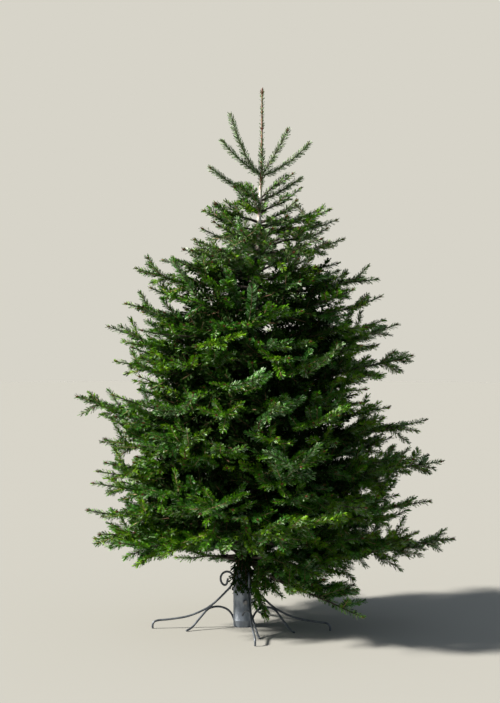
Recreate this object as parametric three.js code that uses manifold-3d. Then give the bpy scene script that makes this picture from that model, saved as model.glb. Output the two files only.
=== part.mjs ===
// A cut fir tree, about two metres tall, clamped in a wrought-iron stand.
// Millimetres, +Z up. The origin is the middle of the stand's flat underside, on the ground.
// -Y is the side that faces the viewer, +X is the viewer's right.
import * as THREE from "three";
import { mergeVertices } from "three/addons/utils/BufferGeometryUtils.js";
import Module from "manifold-3d";

const wasm = await Module();
wasm.setup();

// ---------------------------------------------------------------- driving sizes
const GAP = 0.3; // between touching pieces
const TUBE = { outer: 35, inner: 32, height: 222, floor: 5 }; // socket of the stand
const BAR = 4; // radius of the round bar that the legs are bent from
const LEG_OFFSET = 19; // each leg is welded beside the middle of the tube
const LEG_SPLAY = 0.082; // sideways run of a leg for each mm outwards
const WELD = 119; // where the small toe crosses under the main bar
// side, bearing in degrees, which way it is offset, degrees between its small toe and its main bar in plan
const LEGS = [["right", -8, -1, 38], ["back", 90, -1, 20], ["left", 180, 1, 38], ["front", 270, 1, 18]];
const SCREW = { z: 98, radius: 5, head: 9.5, headHeight: 8, first: -76.4, count: 2 };

const TRUNK_LEAN = [ // height, then where the middle of the trunk is at that height
  [5.3, -2, 0], [222, 4.5, 0], [800, 30, 4], [1450, 58, 4], [1720, 72, 1], [2020, 74, 0],
];
const TRUNK_TAPER = [ // height, radius
  [5.3, 29], [120, 27.5], [250, 25.5], [700, 19.5], [1200, 12.2], [1500, 8.4], [1620, 6.5], [1715, 4.8], [1760, 3.9], [2012, 2.6], [2020, 1.2],
];
const TRUNK_RINGS = [5.3, 120, 250, 400, 560, 700, 860, 1030, 1200, 1350, 1500, 1620, 1715, 1760, 1890, 2012, 2020];

// One entry for each whorl: the height it leaves the trunk, how thick its foliage is, and its boughs.
// A bough is [bearing in degrees from +X towards +Y, reach from the trunk, height of its tip, slope at its tip,
// how far above the whorl it leaves the trunk].
const WHORLS = [
  { tag: "a", z: 252, start: 110, thick: 52, boughs: [[4, 795, 323, 0.12], [318, 570, 116, -0.16], [214, 540, 368, 0.2, 90], [106, 590, 320, 0.1]] },
  { tag: "b", z: 400, start: 0, thick: 82, boughs: [[344, 700, 504, 0.2], [283, 565, 396, 0.05], [184, 592, 447, 0.2], [130, 590, 450, 0.1], [56, 620, 430, 0.1]] },
  { tag: "c", z: 555, start: 0, thick: 84, boughs: [[3, 735, 622, 0.18], [312, 620, 520, 0.05], [254, 590, 515, 0.05], [196, 540, 640, 0.2], [84, 620, 620, 0.15]] },
  { tag: "d", z: 720, start: 0, thick: 82, boughs: [[12, 690, 768, 0.2], [288, 575, 675, 0.1], [228, 575, 735, 0.15], [178, 648, 869, 0.38], [112, 590, 790, 0.2]] },
  { tag: "e", z: 880, start: 0, thick: 78, boughs: [[354, 598, 1030, 0.3], [318, 520, 880, 0.15], [256, 505, 850, 0.12], [192, 508, 1012, 0.3], [84, 550, 1000, 0.3]] },
  { tag: "f", z: 1025, start: 0, thick: 74, boughs: [[12, 560, 1138, 0.35], [286, 450, 1045, 0.2], [172, 550, 1131, 0.4], [108, 470, 1130, 0.3]] },
  { tag: "g", z: 1158, start: 0, thick: 66, boughs: [[350, 470, 1250, 0.4], [262, 380, 1165, 0.2], [186, 478, 1223, 0.35], [72, 410, 1250, 0.4]] },
  { tag: "h", z: 1280, start: 0, thick: 60, boughs: [[8, 460, 1312, 0.2], [296, 310, 1310, 0.3], [176, 448, 1353, 0.3], [104, 340, 1380, 0.4]] },
  { tag: "i", z: 1392, start: 0, thick: 54, boughs: [[356, 318, 1462, 0.4], [250, 240, 1425, 0.4], [182, 272, 1424, 0.3], [92, 250, 1480, 0.5]] },
  { tag: "j", z: 1495, start: 0, thick: 44, boughs: [[6, 292, 1535, 0.4], [184, 200, 1568, 0.6]] },
  { tag: "k", z: 1606, start: 0, thick: 18, slim: true, boughs: [[3, 150, 1688, 0.7], [181, 183, 1728, 0.8]] },
  { tag: "l", z: 1700, start: 0, thick: 16, slim: true, boughs: [[12, 180, 1820, 1.1], [338, 104, 1865, 1.9], [190, 146, 1826, 1.2], [168, 117, 1923, 3.2]] },
];

const FOLIAGE = { color: 0x2c4a14, roughness: 0.55, metalness: 0 };
const BARK = { color: 0x5b4a3c, roughness: 0.9, metalness: 0 };
const IRON = { color: 0x2b2d31, roughness: 0.45, metalness: 0.7 };

// ---------------------------------------------------------------- helpers
const rad = (d) => (d * Math.PI) / 180;
const group = new THREE.Group();

function along(table, z) {
  if (z <= table[0][0]) return table[0].slice(1);
  for (let i = 1; i < table.length; i++)
    if (z <= table[i][0]) {
      const t = (z - table[i - 1][0]) / (table[i][0] - table[i - 1][0]);
      return table[i].slice(1).map((v, k) => table[i - 1][k + 1] * (1 - t) + v * t);
    }
  return table[table.length - 1].slice(1);
}
const trunkAt = (z) => along(TRUNK_LEAN, z);
const trunkRadius = (z) => along(TRUNK_TAPER, z)[0];

// An uneven number from 0 to 1 that is the same on every run.
function uneven(a, b) {
  const s = Math.sin(a * 127.1 + b * 311.7 + 17.3) * 43758.5453;
  return s - Math.floor(s);
}

function place(name, geometry, look) {
  const mesh = new THREE.Mesh(geometry, new THREE.MeshStandardMaterial(look));
  mesh.name = name;
  group.add(mesh);
  return mesh;
}

function solid(geometry) {
  const g = geometry.clone();
  g.deleteAttribute("normal");
  g.deleteAttribute("uv");
  const m = mergeVertices(g, 1e-4);
  return new wasm.Manifold(new wasm.Mesh({
    numProp: 3,
    vertProperties: new Float32Array(m.attributes.position.array),
    triVerts: new Uint32Array(m.index.array),
  }));
}

function geometryOf(manifold) {
  const m = manifold.getMesh();
  const p = new Float32Array(m.numVert * 3);
  for (let i = 0; i < m.numVert; i++) p.set(m.vertProperties.subarray(i * m.numProp, i * m.numProp + 3), i * 3);
  const g = new THREE.BufferGeometry();
  g.setAttribute("position", new THREE.BufferAttribute(p, 3));
  g.setIndex(new THREE.BufferAttribute(new Uint32Array(m.triVerts), 1));
  return g;
}

const largest = (m) => m.decompose().reduce((a, b) => (b.volume() > a.volume() ? b : a));

// A closed skin over rings of points, each ring with the same number of points.
function loft(rings) {
  const n = rings[0].length, p = [], f = [];
  for (const ring of rings) for (const v of ring) p.push(...v);
  for (let i = 0; i + 1 < rings.length; i++)
    for (let k = 0; k < n; k++) {
      const a = i * n + k, b = i * n + ((k + 1) % n), c = a + n, d = b + n;
      f.push(a, b, d, a, d, c);
    }
  for (let k = 1; k + 1 < n; k++) {
    f.push(0, k + 1, k);
    const e = (rings.length - 1) * n;
    f.push(e, e + k, e + k + 1);
  }
  const g = new THREE.BufferGeometry();
  g.setAttribute("position", new THREE.Float32BufferAttribute(p, 3));
  g.setIndex(f);
  return g;
}

// A round bar bent along points.
function bar(points, radius, steps, sides = 6) {
  const shape = new THREE.Shape();
  for (let k = 0; k < sides; k++) {
    const a = ((k + 0.5) * 2 * Math.PI) / sides;
    const q = [radius * Math.cos(a), radius * Math.sin(a)];
    if (k) shape.lineTo(...q);
    else shape.moveTo(...q);
  }
  shape.closePath();
  return new THREE.ExtrudeGeometry(shape, {
    steps,
    extrudePath: new THREE.CatmullRomCurve3(points, false, "centripetal"),
  });
}

// ---------------------------------------------------------------- the stand
// Socket: a tube closed by a flat disc under the trunk, with a hole for each clamping screw.
const screwBearing = (i) => SCREW.first + (360 / SCREW.count) * i;
{
  const { outer, inner, height, floor } = TUBE;
  const cup = new THREE.LatheGeometry(
    [[0, 0], [outer - 1, 0], [outer, 1], [outer, height - 1], [outer - 1, height], [inner, height], [inner, floor], [0, floor]].map((q) => new THREE.Vector2(...q)), 20);
  cup.rotateX(Math.PI / 2);
  let tube = solid(cup);
  if (tube.volume() < 0) throw new Error("socket is inside out");
  for (let i = 0; i < SCREW.count; i++) {
    const drill = new THREE.CylinderGeometry(SCREW.radius + GAP, SCREW.radius + GAP, 30, 8);
    drill.rotateZ(-Math.PI / 2);
    drill.translate(outer, 0, SCREW.z);
    drill.rotateZ(rad(screwBearing(i)));
    tube = tube.subtract(solid(drill));
  }
  place("stand_tube", geometryOf(tube), IRON);
}

// Clamping screws: a round shank from just short of the trunk to a six-sided head outside the tube.
for (let i = 0; i < SCREW.count; i++) {
  const from = trunkRadius(SCREW.z) + 1.2, to = TUBE.outer + 7;
  const shank = new THREE.CylinderGeometry(SCREW.radius, SCREW.radius, to - from + 2, 8);
  shank.rotateZ(-Math.PI / 2);
  shank.translate((from + to + 2) / 2, 0, 0);
  const head = new THREE.CylinderGeometry(SCREW.head, SCREW.head, SCREW.headHeight, 6);
  head.rotateZ(-Math.PI / 2);
  head.translate(to + SCREW.headHeight / 2, 0, 0);
  const g = geometryOf(solid(shank).add(solid(head)));
  g.rotateZ(rad(screwBearing(i)));
  g.translate(0, 0, SCREW.z);
  place("stand_screw_" + (i + 1), g, IRON);
}

// A leg in its own upright plane: outwards, sideways, up. The main bar runs from the outer toe to a scroll at the tube's mouth.
const LEG_LINE = [
  [337.5, -3], [338.5, 12], [334, 23.5], [323, 29.5], [288, 33], [250, 37], [217, 42], [193, 48.5], [169, 57.5], [145, 68.5], [124, 80],
  [106, 94], [85, 113], [62, 136], [47, 152], [38, 166], [33.2, 182], [36, 198], [47, 209], [60, 212], [73, 206.5], [81, 195],
  [82, 181], [77, 168], [68.5, 161], [61, 163], [57.5, 173], [54.5, 186],
];
const TOE_LINE = [
  [112, 6], [108, 20], [98, 39], [82, 56], [58, 69], [30, 76], [0, 75.5], [-18, 69], [-45, 48], [-63, 33], [-85, 15], [-102, 6.5], [-116, 3.2],
];
function leg(turn, hand, toeAngle) {
  const main = LEG_LINE.map(([r, z]) => new THREE.Vector3(r, hand * (LEG_OFFSET + LEG_SPLAY * r), z));
  const c = Math.cos(rad(toeAngle)), s = Math.sin(rad(toeAngle));
  const toe = TOE_LINE.map(([t, z]) => new THREE.Vector3(WELD - t * c, hand * (LEG_OFFSET + LEG_SPLAY * WELD - t * s), z));
  let made = solid(bar(main, BAR, 27)).add(solid(bar(toe, BAR, 10)));
  // flat where it stands on the ground, clear of the tube where it is welded
  const below = new THREE.BoxGeometry(1200, 1200, 40);
  below.translate(0, 0, -20);
  const socket = new THREE.CylinderGeometry(TUBE.outer + GAP, TUBE.outer + GAP, 400, 24);
  socket.rotateX(Math.PI / 2);
  made = largest(made.subtract(solid(below)).subtract(solid(socket)));
  const g = geometryOf(made);
  g.rotateZ(rad(turn));
  return g;
}
LEGS.forEach(([side, ...shape]) => place("stand_leg_" + side, leg(...shape), IRON));

// ---------------------------------------------------------------- the trunk
{
  const sides = 10;
  place("trunk", loft(TRUNK_RINGS.map((z) => {
    const [x, y] = trunkAt(z), r = trunkRadius(z);
    return Array.from({ length: sides }, (_, k) => {
      const a = (2 * Math.PI * k) / sides;
      return [x + r * Math.cos(a), y + r * Math.sin(a), z];
    });
  })), BARK);
}

// ---------------------------------------------------------------- boughs and their foliage
// Height of a bough's middle at a share u of its reach.
function boughHeight(whorl, [, reach, tip, slope, lift = 0], u) {
  const foot = whorl.z + lift, rise = tip - foot, end = slope * reach;
  return foot + (2 * rise - end) * u + (end - rise) * u * u;
}
function boughPoint(whorl, bough, u, side, up) {
  const [x, y] = trunkAt(whorl.z), a = rad(bough[0]), r = bough[1] * u;
  return [x + r * Math.cos(a) - side * Math.sin(a), y + r * Math.sin(a) + side * Math.cos(a), boughHeight(whorl, bough, u) + up];
}

// Shares of the full width and of the full thickness at a share of the reach:
// narrow at the trunk, widest past the middle, one shoot at the tip.
const FAN = [[0, 0.16, 0.62], [0.17, 0.55, 0.95], [0.38, 0.93, 1], [0.6, 1, 0.98], [0.78, 0.76, 0.8], [0.91, 0.36, 0.44], [1, 0.06, 0.1]];
const SPINDLE = [[0, 0.55, 0.55], [0.3, 0.95, 0.95], [0.65, 1, 1], [0.92, 0.8, 0.8], [1, 0.35, 0.35]];

// The room a bough has to each side before the next one of its whorl, in degrees.
function room(whorl, i, side) {
  const mine = whorl.boughs[i][0];
  const others = whorl.boughs.filter((_, k) => k !== i).map((b) => (((b[0] - mine) * side) % 360 + 360) % 360);
  return Math.min(100, ...others) / 2;
}

function foliage(whorl, w, i, grow) {
  const bough = whorl.boughs[i], reach = bough[1];
  const startR = whorl.start || trunkRadius(whorl.z) + 2.5;
  const profile = whorl.slim ? SPINDLE : FAN, sides = whorl.slim ? 6 : 8;
  const full = whorl.slim ? whorl.thick : 0.32 * reach + 30;
  const rings = profile.map(([share, width, depth], j) => {
    const u = (startR + (reach - startR) * share) / reach, r = u * reach;
    const wing = (side) => {
      const want = full * width * (0.86 + 0.28 * uneven(w * 7 + i, j * 2 + side));
      const limit = whorl.slim ? want : r * Math.tan(Math.min(rad(room(whorl, i, side)), 0.9)) * 0.96;
      return Math.max(Math.min(want, limit), 9) + grow;
    };
    const thick = whorl.thick * depth;
    const top = Math.max(thick * (0.8 + 0.35 * uneven(w + 31, i * 9 + j)), 7) + grow;
    const under = Math.max(thick * (0.75 + 0.4 * uneven(w + 57, i * 9 + j)), 7) + grow;
    const left = wing(1), right = wing(-1);
    const shift = j === 0 ? -grow / reach : j === profile.length - 1 ? grow / reach : 0;
    return Array.from({ length: sides }, (_, k) => {
      const a = (2 * Math.PI * (k + 0.5)) / sides, ca = Math.cos(a), sa = Math.sin(a);
      return boughPoint(whorl, bough, u + shift, ca * (ca > 0 ? left : right), sa * (sa > 0 ? top : under));
    });
  });
  return solid(loft(rings));
}

const trunkCutter = (() => {
  const rings = TRUNK_RINGS.map((z) => {
    const [x, y] = trunkAt(z), r = trunkRadius(z) + 1.5;
    return Array.from({ length: 8 }, (_, k) => {
      const a = (2 * Math.PI * k) / 8;
      return [x + r * 1.08 * Math.cos(a), y + r * 1.08 * Math.sin(a), z];
    });
  });
  return solid(loft(rings));
})();

const built = []; // solids already made, a little swollen, with their boxes
const meets = (a, b) => [0, 1, 2].every((k) => a.min[k] < b.max[k] && b.min[k] < a.max[k]);

// The bare limbs between the trunk and the foliage of the lowest tier.
function limb(whorl, bough, grow) {
  const from = (trunkRadius(whorl.z) + 1) / bough[1], to = (whorl.start - GAP) / bough[1];
  return loft([0, 0.5, 1].map((t) => {
    const r = 8.5 - 2.5 * t + grow;
    return Array.from({ length: 8 }, (_, k) => {
      const a = (2 * Math.PI * (k + 0.5)) / 8;
      return boughPoint(whorl, bough, from + (to - from) * t, r * Math.cos(a), r * Math.sin(a));
    });
  }));
}
WHORLS.filter((whorl) => whorl.start).forEach((whorl) =>
  whorl.boughs.forEach((bough, i) => {
    place("bough_" + whorl.tag + (i + 1), limb(whorl, bough, 0), BARK);
    const swollen = solid(limb(whorl, bough, 2.5));
    built.push({ solid: swollen, box: swollen.boundingBox() });
  }));

WHORLS.forEach((whorl, w) =>
  whorl.boughs.forEach((bough, i) => {
    let mass = foliage(whorl, w, i, 0).subtract(trunkCutter);
    const box = mass.boundingBox();
    for (const other of built) if (meets(box, other.box)) mass = mass.subtract(other.solid);
    mass = largest(mass).simplify(2);
    const swollen = foliage(whorl, w, i, 4);
    built.push({ solid: swollen, box: swollen.boundingBox() });
    place((whorl.slim ? "shoot_" : "foliage_") + whorl.tag + (i + 1), geometryOf(mass), FOLIAGE);
  }));

export default group;
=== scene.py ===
import math

import bpy
import numpy as np
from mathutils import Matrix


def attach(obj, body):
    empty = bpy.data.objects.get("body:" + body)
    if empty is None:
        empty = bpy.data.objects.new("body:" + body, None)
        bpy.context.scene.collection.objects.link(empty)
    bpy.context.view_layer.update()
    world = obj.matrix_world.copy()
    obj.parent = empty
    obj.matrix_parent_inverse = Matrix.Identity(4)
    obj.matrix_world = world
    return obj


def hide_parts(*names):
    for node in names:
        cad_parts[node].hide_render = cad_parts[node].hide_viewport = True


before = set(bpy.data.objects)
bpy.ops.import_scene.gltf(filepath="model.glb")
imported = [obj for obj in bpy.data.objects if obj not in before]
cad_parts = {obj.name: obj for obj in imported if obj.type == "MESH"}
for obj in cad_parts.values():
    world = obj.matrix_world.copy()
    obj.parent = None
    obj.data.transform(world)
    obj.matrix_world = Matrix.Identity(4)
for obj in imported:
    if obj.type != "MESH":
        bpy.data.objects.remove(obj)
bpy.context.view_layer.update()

rng = np.random.default_rng(20261126)
Z = np.array([0.0, 0.0, 1.0])

# ------------------------------------------------------------------ sizes, in millimetres
TRUNK_LEAN = [(5.3, -2, 0), (222, 4.5, 0), (800, 30, 4), (1450, 58, 4), (1720, 72, 1), (2020, 74, 0)]
TRUNK_TAPER = [(5.3, 29), (120, 27.5), (250, 25.5), (700, 19.5), (1200, 12.2), (1500, 8.4), (1620, 6.5), (1715, 4.8), (1760, 3.9), (2012, 2.6), (2020, 1.2)]
# whorl: height, start of the foliage, thickness, and its boughs: bearing, reach, height of tip, slope at tip, lift of foot
WHORLS = [
    ("a", 252, 110, 52, [(4, 795, 323, 0.12), (318, 570, 116, -0.16), (214, 540, 368, 0.2, 90), (106, 590, 320, 0.1), (187, 560, 345, 0.0, 62)]),
    ("b", 400, 0, 82, [(344, 700, 504, 0.2), (283, 565, 424, 0.12), (184, 592, 447, 0.2), (130, 590, 450, 0.1), (56, 620, 430, 0.1)]),
    ("c", 555, 0, 84, [(3, 735, 622, 0.18), (312, 620, 520, 0.05), (254, 590, 515, 0.05), (196, 540, 640, 0.2), (84, 620, 620, 0.15)]),
    ("d", 720, 0, 82, [(12, 690, 768, 0.2), (288, 575, 675, 0.1), (228, 575, 735, 0.15), (178, 648, 869, 0.38), (112, 590, 790, 0.2)]),
    ("e", 880, 0, 78, [(354, 598, 1030, 0.3), (318, 520, 880, 0.15), (256, 505, 850, 0.12), (192, 508, 1012, 0.3), (84, 550, 1000, 0.3)]),
    ("f", 1025, 0, 74, [(12, 560, 1138, 0.35), (286, 450, 1045, 0.2), (172, 550, 1131, 0.4), (108, 470, 1130, 0.3)]),
    ("g", 1158, 0, 66, [(350, 470, 1250, 0.4), (262, 380, 1165, 0.2), (186, 478, 1223, 0.35), (72, 410, 1250, 0.4)]),
    ("h", 1280, 0, 60, [(8, 460, 1312, 0.2), (300, 310, 1310, 0.3), (176, 448, 1353, 0.3), (104, 340, 1380, 0.4)]),
    ("i", 1392, 0, 54, [(356, 318, 1462, 0.4), (236, 240, 1425, 0.4), (182, 272, 1424, 0.3), (92, 250, 1480, 0.5)]),
    ("j", 1495, 0, 44, [(6, 292, 1535, 0.4), (184, 200, 1568, 0.6)]),
    ("k", 1606, 0, 18, [(3, 150, 1688, 0.7), (181, 183, 1728, 0.8)]),
    ("l", 1700, 0, 16, [(12, 180, 1820, 1.1), (338, 104, 1865, 1.9), (190, 146, 1826, 1.2), (168, 117, 1923, 3.2)]),
]
# lesser boughs of the upper tree: height, bearing, reach, height of tip, slope at tip
UPPER = [
    (1615, 338, 128, 1705, 0.7), (1522, 335, 150, 1604, 0.8), (1528, 196, 166, 1589, 0.6), (1440, 188, 205, 1501, 0.4),
    (1490, 350, 215, 1567, 0.6), (1560, 214, 110, 1655, 1.0), (1500, 312, 150, 1545, 0.6), (1470, 214, 170, 1510, 0.5),
    (1545, 80, 130, 1610, 0.8), (1600, 120, 90, 1670, 1.0), (1440, 318, 200, 1500, 0.5), (1560, 352, 150, 1650, 0.8),
]
# low drooping sprays: height, bearing, reach, height of tip, slope at tip
LOW = [
    (244, 301, 150, 88, -1.1), (252, 318, 330, 205, -0.15), (250, 334, 300, 215, -0.15), (258, 20, 330, 250, -0.1),
    (262, 75, 330, 250, 0), (256, 150, 300, 235, -0.1), (240, 120, 260, 215, -0.2), (245, 350, 250, 225, -0.3), (262, 313, 420, 238, -0.3),
]
# shoots that stand out before the crown: tier, tint, where the shoot turns, tip
FRONT = [
    ("b2", 2, (4, -420, 375), (353, -500, 502)), ("c2", 3, (99, -430, 572), (271, -520, 749)), ("c2", 3, (189, -500, 666), (87, -530, 723)), ("d2", 0, (227, -400, 789), (368, -450, 872)),
    ("e2", 1, (206, -360, 942), (349, -410, 1090)), ("g2", 3, (36, -230, 1171), (36, -290, 1288)), ("g2", 0, (43, -260, 1172), (157, -320, 1221)), ("f2", 3, (71, -330, 1068), (170, -400, 1104)),
    ("e3", 3, (-7, -400, 945), (91, -470, 986)), ("f2", 2, (-133, -300, 1081), (4, -360, 1127)), ("d3", 3, (-184, -400, 839), (-293, -460, 866)), ("d3", 2, (-218, -420, 748), (-118, -480, 794)),
    ("c3", 0, (-119, -450, 688), (8, -520, 742)), ("d2", 3, (50, -430, 841), (171, -500, 890)), ("g2", 3, (-129, -140, 1182), (-247, -210, 1380)), ("i2", 3, (54, -70, 1342), (-16, -115, 1534)),
    ("j1", 4, (56, -60, 1546), (-14, -130, 1596)), ("j1", 7, (62, -6, 1572), (28, -36, 1657)), ("i1", 2, (185, -50, 1446), (294, -95, 1578)), ("j1", 7, (258, -70, 1527), (202, -70, 1586)),
    ("h2", 2, (243, -90, 1335), (249, -130, 1416)), ("a2", 2, (51, -70, 189), (88, -110, 57)), ("a2", 0, (74, -60, 187), (144, -120, 138)),
    ("h3", 0, (-60, -120, 1269), (-139, -200, 1326)), ("h2", 3, (-8, -110, 1262), (-55, -190, 1344)), ("h2", 1, (87, -110, 1262), (152, -190, 1329)), ("h2", 0, (28, -110, 1313), (72, -170, 1380)),
    ("b2", 0, (-36, -330, 406), (-56, -440, 371)), ("b2", 2, (14, -330, 399), (36, -440, 368)), ("b3", 1, (-101, -330, 406), (-138, -430, 373)), ("b2", 1, (-15, -200, 362), (0, -300, 321)),
    ("d2", 1, (72, -280, 848), (153, -380, 908)), ("d2", 3, (143, -300, 829), (205, -390, 901)),
    ("a3", 0, (-259, -160, 370), (-424, -240, 307)), ("a3", 2, (-199, -200, 384), (-380, -290, 286)), ("a3", 1, (-306, -120, 393), (-477, -160, 329)), ("a3", 2, (-153, -260, 380), (-293, -360, 328)),
    ("e3", 1, (-132, -190, 994), (-36, -300, 1055)), ("e3", 0, (-52, -180, 989), (-130, -280, 1058)), ("g3", 1, (14, -100, 1217), (-59, -190, 1304)),
]
FAN = [(0, 0.16, 0.62), (0.17, 0.55, 0.95), (0.38, 0.93, 1), (0.6, 1, 0.98), (0.78, 0.76, 0.8), (0.91, 0.36, 0.44), (1, 0.06, 0.1)]
CROWN = [(200, 620), (320, 700), (870, 640), (1130, 545), (1350, 440), (1460, 310), (1560, 240), (1700, 170), (1900, 90), (2020, 30)]
# across, then how low the crown may hang there, at the trunk and for each mm towards the viewer
UNDERSIDE = [(-650, 290), (-540, 285), (-500, 212), (-330, 212), (-290, 270), (-60, 268), (36, 250), (44, 62), (90, 62), (97, 118), (285, 118), (305, 66), (800, 66)]
NEEDLE = {"length": 20.0, "foot": 1.6, "end": 2.6}
NEEDLE_TRIANGLES = 900_000  # two for each needle, one for those of the dark inside


def along(table, v):
    t = np.array(table, float)
    return [float(np.interp(v, t[:, 0], t[:, k])) for k in range(1, t.shape[1])]


def trunk_at(z):
    x, y = along(TRUNK_LEAN, z)
    return np.array([x, y, z])


def trunk_radius(z):
    return along(TRUNK_TAPER, z)[0]


def unit(v):
    return v / max(np.linalg.norm(v), 1e-9)


def crown_radius(z):
    return along(CROWN, z)[0]


# ------------------------------------------------------------------ the branching rule
# A branch is a line of points with its radius, how far along it the needles start, and how they sit.
branches = []


def add(points, r0, r1, order, group, tint, bare=0.0, mode="comb", density=1.0, size=1.0):
    points = np.asarray(points, float)
    step = np.linalg.norm(np.diff(points, axis=0), axis=1)
    b = {"p": points, "s": np.concatenate([[0], np.cumsum(step)]), "r0": r0, "r1": r1, "order": order, "group": group,
         "tint": tint, "bare": bare, "mode": mode, "density": density, "size": size}
    b["length"] = b["s"][-1]
    branches.append(b)
    return b


def spot(b, s):
    """Point and direction at a distance along a branch."""
    p = np.array([np.interp(s, b["s"], b["p"][:, k]) for k in range(3)])
    i = min(max(int(np.searchsorted(b["s"], s)) - 1, 0), len(b["s"]) - 2)
    return p, unit(b["p"][i + 1] - b["p"][i])


def sweep(p, d, length, lift, wander=0.05):
    """A line from p heading d that bends upwards by lift along its length."""
    n = max(2, int(math.ceil(length / 38)))
    pts, step = [p], length / n
    for i in range(n):
        d = unit(d + Z * lift / n + rng.normal(0, wander, 3) / math.sqrt(n))
        p = p + d * step
        pts.append(p)
    return pts


TINTS = [0, 1, 2, 3, 4]
TINT_SHARE = [0.33, 0.2, 0.25, 0.09, 0.13]
COOL_SHARE = [0.36, 0.22, 0.1, 0.28, 0.04]


def tint_for(direction):
    """Sprays that face the viewer or the sky are cooler in tone than those that reach to the sides."""
    h = math.hypot(direction[0], direction[1])
    return int(rng.choice(TINTS, p=COOL_SHARE if abs(direction[0]) < 0.75 * max(h, 1e-6) else TINT_SHARE))



def keeps(p):
    """Inner wood is mostly bare, so few side shoots start near the trunk."""
    c = trunk_at(min(max(p[2], 10), 2010))
    q = math.hypot(p[0] - c[0], p[1] - c[1]) / crown_radius(min(max(p[2], 200), 2020))
    if p[2] > 1150:
        return rng.random() < (0.7 if p[2] > 1380 else 0.9)
    if p[2] < 380:
        return True
    return rng.random() < 0.45 + 0.55 * min(max((q - 0.1) / 0.3, 0), 1)


YEARS = [(110, 140), (90, 114), (80, 98)]  # a year's growth on boughs, on their side shoots, and on the shoots of those


def sprout(parent, width, order, ratio, deep, tilt=30.0):
    """Side shoots in pairs at each year's end, counted back from the tip, with a few between."""
    L, s = parent["length"], parent["length"]
    years = YEARS[min(order - 1, 2)]
    run = parent["p"][-1] - parent["p"][0]
    frontal = 1 - abs(run[0]) / max(np.linalg.norm(run), 1e-6)
    turn = math.radians(rng.uniform(-1, 1) * (20 + 16 * frontal if order > 1 else 14 + 18 * frontal))
    tilt = tilt * (0.7 + 0.4 * frontal)
    while True:
        s -= rng.uniform(*years)
        if s < max(parent["bare"] * 0.85, 16):
            break
        spots = [(s, 1, 1.0), (s + rng.uniform(-5, 5), -1, 1.0)]
        if order == 1:
            spots += [(s + rng.uniform(26, 50), 1, 0.66), (s + rng.uniform(26, 50), -1, 0.66), (s + rng.uniform(58, 82), rng.choice([-1, 1]), 0.6)][:1 + (rng.random() < 0.75) + (rng.random() < 0.4)]
            if rng.random() < deep:
                spots.append((s + rng.uniform(-10, 60), 0, 1.0))
            if rng.random() < deep * 0.75:
                spots.append((s + rng.uniform(-10, 60), 2, 1.0))
        elif rng.random() < 0.4:
            spots.append((s + rng.uniform(20, 50), rng.choice([-1, 0, 1]), 0.8))
        for at, side, share in spots:
            if at > L - 30:
                continue
            p, t = spot(parent, at)
            if not keeps(p):
                continue
            distal = L - at
            roll = turn * (1 - 0.55 * at / L) if order == 1 else turn
            across = unit(np.cross(Z, t)) if abs(t[2]) < 0.95 else unit(np.cross(np.array([1.0, 0, 0]), t))
            over = np.cross(t, across)
            across, over = across * math.cos(roll) + over * math.sin(roll), over * math.cos(roll) - across * math.sin(roll)
            if side in (1, -1):
                a = math.radians(rng.uniform(42, 60) if order == 1 else rng.uniform(40, 56))
                length = (22 + distal * ratio) * rng.uniform(0.82, 1.12) * share
                if width is not None:
                    length = min(length, width(at / L) / math.sin(a) * rng.uniform(0.85, 1.08))
                pitch = math.radians(rng.uniform(-tilt, tilt * 1.1) * (1.5 - at / L if order == 1 else 1.0))
                d = math.cos(a) * t + math.sin(a) * (side * across * math.cos(pitch) + over * math.sin(pitch))
            else:
                a = math.radians(rng.uniform(30, 55))
                length = min(20 + distal * 0.45, rng.uniform(85, 140))
                sign = 1 if side == 0 else -1
                d = math.cos(a) * t + math.sin(a) * sign * over + across * rng.normal(0, 0.3)
            if length < 62:
                if rng.random() < 0.6:
                    continue
                length = rng.uniform(62, 88)
            tint = parent["tint"] if order > 1 and rng.random() < 0.65 else tint_for(run)
            r = min(parent["r0"] * 0.55, 1.3 + length * 0.0062)
            line = sweep(p, unit(d), length, rng.uniform(-0.2, 0.36), 0.035)
            if any(q[2] < along(UNDERSIDE, q[0])[0] + (0.22 if q[1] < 0 else 0.1) * -q[1] for q in line[len(line) // 2:]):
                continue
            child = add(line, r, 1.1, order, parent["group"], tint,
                        density=parent["density"], size=rng.uniform(0.92, 1.1))
            if length > (96 if order == 1 else 112) and order < 3:
                sprout(child, None, order + 1, 0.52, deep, 22.0)


def bough(group, z, bearing, reach, tip, slope, lift=0.0, width=None, thick=60.0, deep=0.7, ratio=0.62, slim=False, bare=0.22):
    base = trunk_at(z + lift)
    a = math.radians(bearing)
    out, side = np.array([math.cos(a), math.sin(a), 0]), np.array([-math.sin(a), math.cos(a), 0])
    foot = z + lift
    rise, end = tip - foot, slope * reach
    n = max(4, int(reach / 28))
    w1, w2, ph = rng.uniform(5, 15), rng.uniform(4, 11), rng.uniform(0, 6.28)
    if slim:
        w1, w2 = 1.5, 1.0
    pts = []
    start = trunk_radius(foot) * 0.45 / reach
    for i in range(n + 1):
        u = start + (1 - start) * i / n
        fade = math.sin(math.pi * u)
        h = foot + (2 * rise - end) * u + (end - rise) * u * u
        p = base + out * reach * u + side * fade * w1 * math.sin(5 * u + ph)
        p[2] = h + fade * w2 * math.sin(7 * u + ph * 2)
        pts.append(p)
    r0 = min(max(2.2 + reach * 0.0098, 2.4), trunk_radius(foot) * 0.62)
    tint = 7 if slim else tint_for(out)
    return add(pts, r0, 1.35, 0, group, tint, bare=bare * reach, mode="brush" if slim else "comb", density=1.15 if slim else 1.0,
               size=0.98 if slim else 1.0)


TIPS = np.array([(spec[0], spec[1], spec[2]) for w in WHORLS for spec in w[4]], float)


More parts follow.
